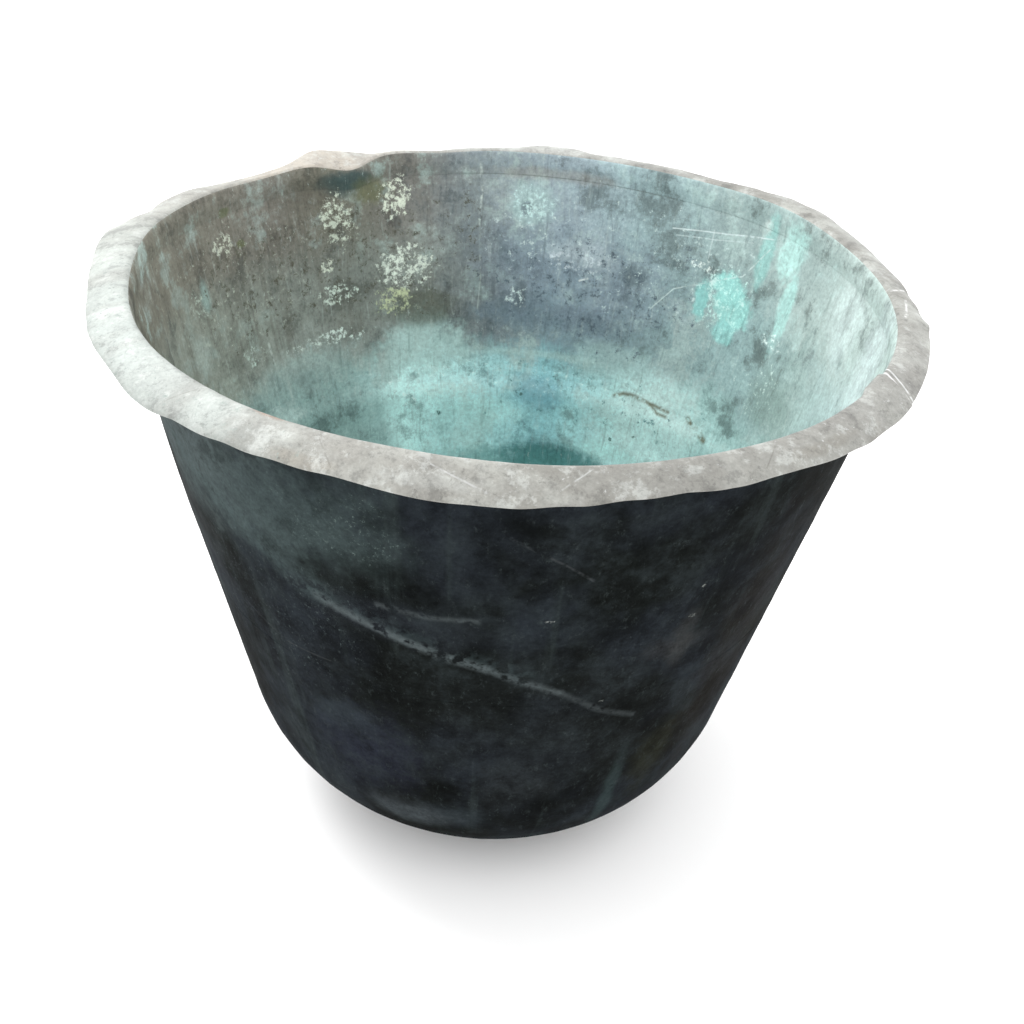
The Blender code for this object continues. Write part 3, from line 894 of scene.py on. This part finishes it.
INSIDE_PITS = (
    (106, 0.232, 1.7, 0.0050, 0.95, (86, 118, 114)),
    (86, 0.2526, 0.8, 0.0025, 1.3, (86, 118, 116)),
    (57, 0.2335, 0.8, 0.0025, 1.3, (92, 124, 118)),
    (63, 0.2245, 0.7, 0.0025, 1.3, (90, 122, 118)),
    (70, 0.255, 50.0, 0.060, 0.55, (92, 134, 136)),
    (130, 0.390, 60.0, 0.090, 0.70, (82, 80, 68)),
    (74, 0.360, 34.0, 0.090, 0.70, (84, 98, 108)),
)

# Scratches, cracks and seams on the inside: width, strength, colour, path of (azimuth, height)
INSIDE_LINES = (
    (0.0016, 0.75, (196, 206, 200), ((97, 0.466), (96.6, 0.440), (97, 0.415))),
    (0.0011, 0.50, (176, 186, 180), ((97, 0.415), (96.5, 0.360), (97, 0.330))),
    (0.0022, 0.55, (196, 204, 196), ((146, 0.335), (145.6, 0.319))),
    (0.0010, 0.80, (214, 228, 228), ((59, 0.431), (48, 0.440), (38, 0.451))),
    (0.0009, 0.60, (206, 222, 222), ((58, 0.426), (50, 0.432), (42, 0.441))),
    (0.0010, 0.60, (206, 220, 220), ((50.6, 0.440), (50.4, 0.415))),
    (0.0009, 0.70, (208, 224, 222),
     ((60, 0.355), (56, 0.379), (51.7, 0.388), (46, 0.402), (42, 0.411), (38, 0.442))),
    (0.0014, 0.80, (226, 232, 230), ((76, 0.366), (74.4, 0.369))),
    (0.0030, 0.85, (106, 100, 78), ((64, 0.267), (62, 0.271), (60, 0.272), (55, 0.270), (50, 0.269))),
    (0.0024, 0.80, (108, 104, 82), ((55, 0.2695), (52.5, 0.264), (50, 0.264))),
    (0.0040, 0.95, (100, 98, 76), ((44.5, 0.271), (41, 0.265), (38.4, 0.261))),
    (0.0009, 0.45, (96, 104, 100), ((103, 0.456), (90, 0.4565), (76, 0.4565), (60, 0.456))),
    (0.0008, 0.50, (110, 122, 124), ((72, 0.440), (70, 0.400), (70.5, 0.372))),
    (0.0008, 0.40, (84, 86, 78), ((170, 0.462), (169, 0.380), (169.6, 0.330))),
    (0.0008, 0.40, (84, 86, 78), ((136, 0.460), (135, 0.400), (135.4, 0.350))),
)

# The outside in the same way. Its first four rows, paler high on the left, are painted reflection of the
# light from the left.
OUTSIDE_PATCHES = (
    (-160, 0.440, 26.0, 0.050, 0.6, 0.90, (122, 128, 129)),
    (-138, 0.400, 20.0, 0.045, 0.6, 0.80, (98, 112, 112)),
    (-118, 0.405, 14.0, 0.042, 0.6, 0.70, (80, 94, 94)),
    (-165, 0.330, 20.0, 0.040, 0.6, 0.45, (78, 82, 84)),
    (-106, 0.325, 12.0, 0.018, 0.6, 0.45, (58, 64, 72)),
    (-113, 0.174, 11.0, 0.042, 0.6, 0.50, (52, 56, 72)),
    (-118, 0.200, 7.0, 0.020, 0.6, 0.45, (68, 78, 84)),
    (-97, 0.103, 9.0, 0.015, 0.6, 0.50, (66, 76, 82)),
    (-134.6, 0.147, 3.5, 0.027, 0.5, 0.45, (70, 78, 80)),
    (-61, 0.117, 1.8, 0.050, 0.5, 0.50, (74, 92, 92)),
    (-58, 0.293, 6.0, 0.010, 0.5, 0.50, (76, 78, 80)),
    (-57, 0.295, 2.2, 0.026, 0.5, 0.50, (78, 80, 80)),
    (-52, 0.155, 5.0, 0.035, 0.6, 0.55, (58, 60, 46)),
    (-40, 0.250, 8.0, 0.140, 0.6, 0.35, (54, 48, 42)),
    # Painted reflection of the floor: paler low at the foot.
    (-112, 0.026, 30.0, 0.022, 0.6, 0.70, (82, 89, 94)),
    (-106, 0.100, 9.0, 0.016, 0.6, 0.60, (96, 104, 108)),
    (-84, 0.150, 8.0, 0.030, 0.6, 0.40, (66, 72, 74)),
    (-78, 0.220, 22.0, 0.080, 0.6, 0.40, (38, 42, 42)),
)
OUTSIDE_FLECKS = (
    # The first row's pale crumbs lie in the painted reflection high on the left and are partly pale from
    # it.
    (-112, 0.405, 17.0, 0.050, 0.50, (116, 132, 128)),
    (-56.8, 0.353, 0.8, 0.0022, 1.0, (150, 156, 152)),
    (-81.3, 0.3415, 1.1, 0.0018, 1.0, (160, 166, 162)),
    (-56.9, 0.323, 0.9, 0.0020, 1.0, (140, 146, 142)),
    (-69.6, 0.248, 0.9, 0.0018, 1.0, (140, 146, 142)),
    (-90, 0.250, 95.0, 0.220, 0.30, (74, 82, 84)),
    (-130, 0.300, 30.0, 0.120, 0.50, (88, 100, 100)),
)
OUTSIDE_LINES = (
    (0.0060, 0.66, (122, 133, 135), ((-117.6, 0.331), (-101, 0.306), (-90.6, 0.291))),
    (0.0050, 0.52, (112, 122, 124), ((-90.6, 0.291), (-77.7, 0.264))),
    (0.0044, 0.36, (102, 110, 112), ((-77.7, 0.264), (-69, 0.236), (-62, 0.222))),
    (0.0180, 0.45, (92, 108, 108), ((-160, 0.436), (-137, 0.380), (-118, 0.336))),
    (0.0100, 0.30, (80, 94, 96), ((-118, 0.336), (-100, 0.312), (-84, 0.286))),
    (0.0036, 0.45, (100, 108, 110), ((-107, 0.341), (-99, 0.338), (-92, 0.340))),
    (0.0014, 0.40, (92, 96, 98), ((-88, 0.420), (-80, 0.395), (-76, 0.380))),
    (0.0012, 0.35, (88, 92, 92), ((-140, 0.280), (-128, 0.260), (-118, 0.262))),
)

# The flange: azimuth, radius, half width, half height, softness, strength, colour. The whiter rows to the
# left (190, 218) and at the back (150, 124, 96) are partly pale patina and partly painted light, from the
# light on the left and the sheen along the far rim.
RIM_PATCHES = (
    (190, 0.305, 26.0, 0.050, 0.5, 0.75, (198, 206, 200)),
    (218, 0.305, 24.0, 0.050, 0.6, 0.60, (194, 204, 200)),
    (150, 0.305, 20.0, 0.050, 0.6, 0.60, (190, 190, 182)),
    (124, 0.305, 18.0, 0.050, 0.6, 0.80, (204, 192, 176)),
    (96, 0.305, 30.0, 0.050, 0.6, 0.60, (196, 198, 194)),
    (256, 0.305, 12.0, 0.050, 0.6, 0.45, (178, 177, 170)),
    (300, 0.302, 18.0, 0.030, 0.6, 0.60, (166, 166, 160)),
    (330, 0.305, 16.0, 0.030, 0.6, 0.45, (172, 172, 168)),
    (240, 0.290, 2.6, 0.004, 0.5, 0.70, (178, 132, 96)),
    (247, 0.314, 4.0, 0.004, 0.5, 0.50, (158, 150, 136)),
    (278, 0.296, 7.0, 0.004, 0.5, 0.50, (152, 150, 142)),
    (312, 0.312, 6.0, 0.004, 0.5, 0.55, (146, 142, 132)),
    (262, 0.310, 5.0, 0.005, 0.5, 0.40, (214, 218, 214)),
)
RIM_FLECKS = (
    (215, 0.305, 60.0, 0.050, 0.55, (160, 172, 166)),
    (290, 0.305, 60.0, 0.050, 0.50, (134, 134, 128)),
    (300, 0.305, 70.0, 0.050, 0.35, (226, 228, 226)),
    (90, 0.305, 90.0, 0.050, 0.35, (176, 180, 172)),
)
RIM_LINES = (
    (0.0016, 1.00, (255, 255, 255), ((334.5, 0.291), (332, 0.306), (330, 0.321))),
    (0.0012, 0.95, (250, 252, 252), ((335.8, 0.291), (333.2, 0.306), (331.4, 0.321))),
    (0.0014, 0.90, (255, 255, 255), ((363, 0.297), (366, 0.313))),
    (0.0013, 0.90, (255, 255, 255), ((354, 0.300), (361, 0.306))),
    (0.0008, 0.60, (228, 230, 230), ((262, 0.300), (268, 0.312))),
    (0.0007, 0.60, (226, 230, 228), ((281, 0.297), (277, 0.311))),
    (0.0008, 0.55, (120, 118, 110), ((306, 0.297), (302, 0.313))),
    (0.0007, 0.55, (122, 120, 112), ((248, 0.298), (251, 0.314))),
    (0.0008, 0.50, (124, 124, 116), ((228, 0.297), (226, 0.312))),
)


def outside_finish(colours):
    """Sooty black copper with blue and green shadows, a pale tide line and fine pale specks, and painted
    reflection: paler high on the left and low at the foot.
    """
    f = Finish("black_copper_outside", 0.25, -230.0)
    side = f.step(f.r, *ROUND_TO_SIDE)
    cloud = f.noise(f.point, 9.0, 4.0, 0.62)
    runs = f.noise(f.wrapped(11.0, 3.0), 1.0, 4.0, 0.6)
    blotch = f.noise(f.point, 20.0, 8.0, 0.75)
    scuff = f.noise(f.wrapped(40.0, 100.0), 1.0, 6.0, 0.8)
    fine = f.noise(f.point, 75.0, 4.0, 0.65)
    grain = f.noise(f.point, 330.0, 3.0, 0.7)
    base = f.tint(f.step(cloud, 0.4, 0.66), tuple(colours.black_copper), paint(46, 52, 58, OUTSIDE_GAIN))
    base = f.tint(f.step(runs, 0.56, 0.75, 0.5) * side, base, tuple(colours.haze))
    base = f.patches(base, OUTSIDE_PATCHES, OUTSIDE_GAIN)
    base = f.tint(f.step(blotch, 0.48, 0.66, 0.38), base, paint(66, 75, 78, OUTSIDE_GAIN))
    base = f.shade(base, 1.0 - f.step(blotch, 0.52, 0.38, 0.45))
    base = f.tint(f.step(scuff, 0.55, 0.70, 0.40) * side, base, paint(84, 94, 94, OUTSIDE_GAIN))
    base = f.lines(base, OUTSIDE_LINES, OUTSIDE_GAIN)
    base = f.specks(base, OUTSIDE_FLECKS, 300.0, OUTSIDE_GAIN)
    base = f.shade(base, (0.9 * fine + 0.9 * grain) + 0.1)
    f.shader.inputs["Specular IOR Level"].default_value = 0.01
    return f.close(base, 0.55 + 0.25 * fine, fine * 0.6 + grain * 0.4, 0.35)


def inside_finish(colours):
    """Grey and brown oxide above, turquoise verdigris low down, with lime, scratches and cracks. The belts
    also hold painted shade on the left wall and painted light on the right wall and low down.

    Three belts of colour run into each other at ragged heights. Over them lie upright runs, blotches
    and scuffs, each where a noise of its own passes a level."""
    f = Finish("verdigris_inside", 0.27, -60.0)
    side = f.step(f.r, *ROUND_TO_SIDE)
    cloud = f.noise(f.point, 8.0, 4.0, 0.6)
    streak = f.noise(f.wrapped(19.0, 5.0), 1.0, 5.0, 0.7)
    runs = f.noise(f.wrapped(52.0, 24.0), 1.0, 5.0, 0.7)
    mottle = f.noise(f.point, 13.0, 8.0, 0.78)
    blotch = f.noise(f.point, 26.0, 8.0, 0.72)
    scuff = f.noise(f.wrapped(60.0, 120.0), 1.0, 6.0, 0.8)
    fine = f.noise(f.point, 75.0, 5.0, 0.7)
    grain = f.noise(f.point, 300.0, 3.0, 0.7)
    swing = (cloud - 0.5) * 20.0 + (blotch - 0.5) * 34.0
    level = f.z + (cloud - 0.5) * 0.06 + (blotch - 0.5) * 0.07 + (runs - 0.5) * 0.03
    base = f.tint(f.step(level, 0.42, 0.37), f.bands(INSIDE_TOP, swing), f.bands(INSIDE_MIDDLE, swing))
    base = f.tint(f.step(level, 0.312, 0.272), base, f.bands(INSIDE_LOW, swing))
    foot = f.tint(f.step(mottle, 0.42, 0.60), paint(92, 142, 138), paint(150, 198, 192))
    base = f.shade(f.tint(side, foot, base), INSIDE_GAIN)
    # The left wall, from azimuth 102 to 190, lies in shade: the brown streaks laid there, and the lime and
    # bloom held back there, are partly the oxide's own colour and partly painted shade.
    dark = f.patch(146, 0.400, 44.0, 0.092, 0.4, 1.0)
    base = f.tint(dark * f.step(streak, 0.46, 0.62) * 0.5, base, tuple(colours.brown_copper))
    base = f.tint(f.step(mottle, 0.50, 0.62, 0.40) * (1.0 - dark * 0.6), base, tuple(colours.lime))
    base = f.shade(base, 1.0 - f.step(mottle, 0.50, 0.38, 0.34))
    bloom = f.step(blotch, 0.53, 0.62, 0.30) * (1.0 - dark * 0.5)
    base = f.tint(bloom, base, paint(176, 208, 204, INSIDE_GAIN))
    base = f.shade(base, 1.0 - f.step(blotch, 0.47, 0.38, 0.26))
    base = f.patches(base, INSIDE_PATCHES, INSIDE_GAIN)
    base = f.tint(f.step(runs, 0.56, 0.70, 0.24) * side, base, tuple(colours.lime))
    base = f.shade(base, 1.0 - f.step(runs, 0.45, 0.32, 0.24) * side)
    base = f.tint(f.step(scuff, 0.60, 0.66, 0.35) * side, base, tuple(colours.lime))
    base = f.shade(base, 1.0 - f.step(scuff, 0.42, 0.36, 0.22) * side)
    base = f.specks(base, INSIDE_PITS, 120.0, INSIDE_GAIN)
    base = f.specks(base, INSIDE_FLECKS, 150.0, INSIDE_GAIN)
    base = f.lines(base, INSIDE_LINES, INSIDE_GAIN)
    base = f.shade(base, 0.28 * (streak - 0.5) * side + 0.70 * fine + 0.60 * grain + 0.395)
    f.shader.inputs["Specular IOR Level"].default_value = 0.3
    return f.close(base, 0.42 + 0.3 * fine, fine * 0.5 + grain * 0.3 + scuff * 0.3, 0.4)


def rim_finish(colours):
    """Worn silvery grey, whiter to the left and at the back, partly as pale patina and partly as painted
    light, and browner to the right, with scratches and dull crumbs.
    """
    f = Finish("worn_rim", 0.305, 30.0, True)
    cloud = f.noise(f.point, 22.0, 5.0, 0.65)
    drawn = f.noise(f.wrapped(9.0, 0.0), 1.0, 3.0, 0.6)
    blotch = f.noise(f.point, 42.0, 8.0, 0.76)
    scuff = f.noise(f.point, 130.0, 6.0, 0.82)
    fine = f.noise(f.point, 95.0, 4.0, 0.68)
    grain = f.noise(f.point, 420.0, 3.0, 0.7)
    base = f.tint(f.step(cloud, 0.40, 0.60), paint(158, 157, 150, RIM_GAIN), tuple(colours.worn_rim))
    base = f.patches(base, RIM_PATCHES, RIM_GAIN)
    base = f.tint(f.step(drawn, 0.45, 0.62, 0.35), base, paint(150, 149, 143, RIM_GAIN))
    base = f.tint(f.step(blotch, 0.52, 0.62, 0.50), base, paint(222, 226, 222, RIM_GAIN))
    base = f.shade(base, 1.0 - f.step(blotch, 0.48, 0.38, 0.30))
    base = f.specks(base, RIM_FLECKS, 120.0, RIM_GAIN)
    base = f.shade(base, 1.0 - f.step(scuff, 0.43, 0.36, 0.30))
    base = f.lines(base, RIM_LINES, RIM_GAIN)
    base = f.shade(base, 0.25 * cloud + 0.55 * fine + 0.60 * grain + 0.3)
    f.shader.inputs["Metallic"].default_value = 0.15
    return f.close(base, 0.36 + 0.3 * fine, fine * 0.4 + grain * 0.3 + blotch * 0.5, 0.5)


def spelter_finish(colours):
    """Dull brassy spelter, greened over."""
    f = Finish("dull_spelter", 0.3)
    cloud = f.noise(f.point, 40.0, 4.0, 0.6)
    fine = f.noise(f.point, 160.0, 4.0, 0.65)
    base = f.tint(f.step(cloud, 0.4, 0.6), tuple(colours.spelter), paint(150, 158, 148))
    return f.close(f.shade(base, 0.6 + 0.8 * fine), 0.35 + 0.3 * fine, fine, 0.4)


FINISHES = {
    "outside": outside_finish,
    "inside": inside_finish,
    "rim": rim_finish,
    "spelter": spelter_finish,
}


def finish_of(context, kind):
    """The material of this kind, made when it is first asked for."""
    key = f"finish_{kind}"
    if key not in context.scene:
        context.scene[key] = FINISHES[kind](context.scene.bowl_finish)
    return context.scene[key]


# ------------------------------------------------------------------ stage


CAMERA_DISTANCE = 1.1692
CAMERA_ELEVATION = math.radians(23.16)
CAMERA_ROLL = math.radians(3.55)
CAMERA_DIP = math.radians(9.00)
CAMERA_LENS = 52.73
FLOOR_HALF = 14.0
FLOOR_TONES = ((0.95, 0.95, 0.95), (0.97, 0.97, 0.97))
SURROUND_STRENGTH = 1.7
# Place, aim, side in metres and watts
KEY_LIGHT = ((-1.6, 1.2, 2.4), (0.0, 0.0, 0.3), 1.6, 48.0)


def build_camera(shape):
    """Looks at the rim from the front and above, rolled a little and dipped towards the foot."""
    back = np.array([0.0, -math.cos(CAMERA_ELEVATION), math.sin(CAMERA_ELEVATION)])
    right = np.array([1.0, 0.0, 0.0])
    up = np.array([0.0, math.sin(CAMERA_ELEVATION), math.cos(CAMERA_ELEVATION)])
    rolled_right = math.cos(CAMERA_ROLL) * right + math.sin(CAMERA_ROLL) * up
    rolled_up = -math.sin(CAMERA_ROLL) * right + math.cos(CAMERA_ROLL) * up
    dipped_up = math.cos(CAMERA_DIP) * rolled_up - math.sin(CAMERA_DIP) * back
    dipped_back = math.sin(CAMERA_DIP) * rolled_up + math.cos(CAMERA_DIP) * back
    camera = bpy.data.cameras.new("bowl_camera")
    camera.lens = CAMERA_LENS
    camera.sensor_width = 36.0
    holder = bpy.data.objects.new("bowl_camera", camera)
    bpy.context.scene.collection.objects.link(holder)
    matrix = np.eye(4)
    matrix[:3, 0], matrix[:3, 1], matrix[:3, 2] = rolled_right, dipped_up, dipped_back
    matrix[:3, 3] = np.array([0.0, 0.0, shape.height]) + back * CAMERA_DISTANCE
    holder.matrix_world = Matrix(matrix.tolist())
    bpy.context.scene.camera = holder


def add_light(name, place_at, aim, side, watts):
    """A square soft light at a place, turned towards aim."""
    data = bpy.data.lights.new(name, "AREA")
    data.size = side
    data.energy = watts
    lamp = bpy.data.objects.new(name, data)
    bpy.context.scene.collection.objects.link(lamp)
    lamp.location = place_at
    lamp.rotation_euler = (Vector(aim) - Vector(place_at)).to_track_quat("-Z", "Y").to_euler()


def build_stage(shape):
    """A wide pale floor, a white surround and soft light from above and from the left."""
    corners = [(-1, -1), (1, -1), (1, 1), (-1, 1)]
    mesh = bpy.data.meshes.new("floor")
    mesh.from_pydata([(FLOOR_HALF * x, FLOOR_HALF * y, 0.0) for x, y in corners], [], [(0, 1, 2, 3)])
    floor = bpy.data.objects.new("floor", mesh)
    bpy.context.scene.collection.objects.link(floor)
    f = Finish("pale_floor")
    base = f.tint(f.noise(f.point, 3.0, 2.0, 0.5), FLOOR_TONES[0], FLOOR_TONES[1])
    f.tree.links.new(base.socket, f.shader.inputs["Base Color"])
    f.shader.inputs["Roughness"].default_value = 0.9
    mesh.materials.append(f.material)
    world = bpy.data.worlds.new("studio")
    world.use_nodes = True
    background = world.node_tree.nodes["Background"]
    background.inputs["Color"].default_value = (1.0, 1.0, 1.0, 1.0)
    background.inputs["Strength"].default_value = SURROUND_STRENGTH
    bpy.context.scene.world = world
    bpy.context.scene.view_settings.view_transform = "Standard"
    add_light("key", *KEY_LIGHT)
    build_camera(shape)


# ------------------------------------------------------------------ operators and panel


class BOWL_OT_wall(bpy.types.Operator):
    """Build the hammered wall sheet with its scarfed seam"""

    bl_idname = "copper_bowl.wall"
    bl_label = "Wall sheet"

    def execute(self, context):
        build_wall(context.scene.bowl_shape, [finish_of(context, "outside"), finish_of(context, "inside")])
        return {"FINISHED"}


class BOWL_OT_pan(bpy.types.Operator):
    """Build the raised bottom pan"""

    bl_idname = "copper_bowl.pan"
    bl_label = "Bottom pan"

    def execute(self, context):
        build_pan(context.scene.bowl_shape, [finish_of(context, "outside"), finish_of(context, "inside")])
        return {"FINISHED"}


class BOWL_OT_rim(bpy.types.Operator):
    """Build the turned-out rim with its lap"""

    bl_idname = "copper_bowl.rim"
    bl_label = "Rim flange"

    def execute(self, context):
        build_rim(context.scene.bowl_shape, [finish_of(context, "rim"), finish_of(context, "inside")])
        return {"FINISHED"}


class BOWL_OT_beads(bpy.types.Operator):
    """Build the beads of spelter along the seams"""

    bl_idname = "copper_bowl.beads"
    bl_label = "Brazed seams"

    def execute(self, context):
        shape = context.scene.bowl_shape
        build_pan_bead(shape, finish_of(context, "inside"))
        build_rim_bead(shape, finish_of(context, "spelter"))
        build_side_bead(shape, finish_of(context, "inside"))
        build_lap_bead(shape, finish_of(context, "spelter"))
        return {"FINISHED"}


class BOWL_OT_stage(bpy.types.Operator):
    """Lay the floor and set the lights and the camera"""

    bl_idname = "copper_bowl.stage"
    bl_label = "Stage"

    def execute(self, context):
        build_stage(context.scene.bowl_shape)
        return {"FINISHED"}


OPERATORS = (BOWL_OT_wall, BOWL_OT_pan, BOWL_OT_rim, BOWL_OT_beads, BOWL_OT_stage)


class BOWL_PT_panel(bpy.types.Panel):
    """The bowl's sizes, colours and building steps"""

    bl_idname = "BOWL_PT_panel"
    bl_label = "Hammered Copper Bowl"
    bl_space_type = "VIEW_3D"
    bl_region_type = "UI"
    bl_category = "Copper Bowl"

    def draw(self, context):
        for settings in (context.scene.bowl_shape, context.scene.bowl_finish):
            box = self.layout.box()
            for name in settings.__annotations__:
                box.prop(settings, name)
        for operator in OPERATORS:
            self.layout.operator(operator.bl_idname)


CLASSES = (BowlShape, BowlFinish, *OPERATORS, BOWL_PT_panel)


def register():
    """Makes the bowl's classes and settings known to Blender."""
    for cls in CLASSES:
        bpy.utils.register_class(cls)
    bpy.types.Scene.bowl_shape = bpy.props.PointerProperty(type=BowlShape)
    bpy.types.Scene.bowl_finish = bpy.props.PointerProperty(type=BowlFinish)


def unregister():
    """Takes the settings and classes away again."""
    del bpy.types.Scene.bowl_finish
    del bpy.types.Scene.bowl_shape
    for cls in reversed(CLASSES):
        bpy.utils.unregister_class(cls)


def main():
    """Builds the whole bowl."""
    register()
    bpy.ops.copper_bowl.wall()
    bpy.ops.copper_bowl.pan()
    bpy.ops.copper_bowl.rim()
    bpy.ops.copper_bowl.beads()
    bpy.ops.copper_bowl.stage()


if __name__ == "__main__":
    main()
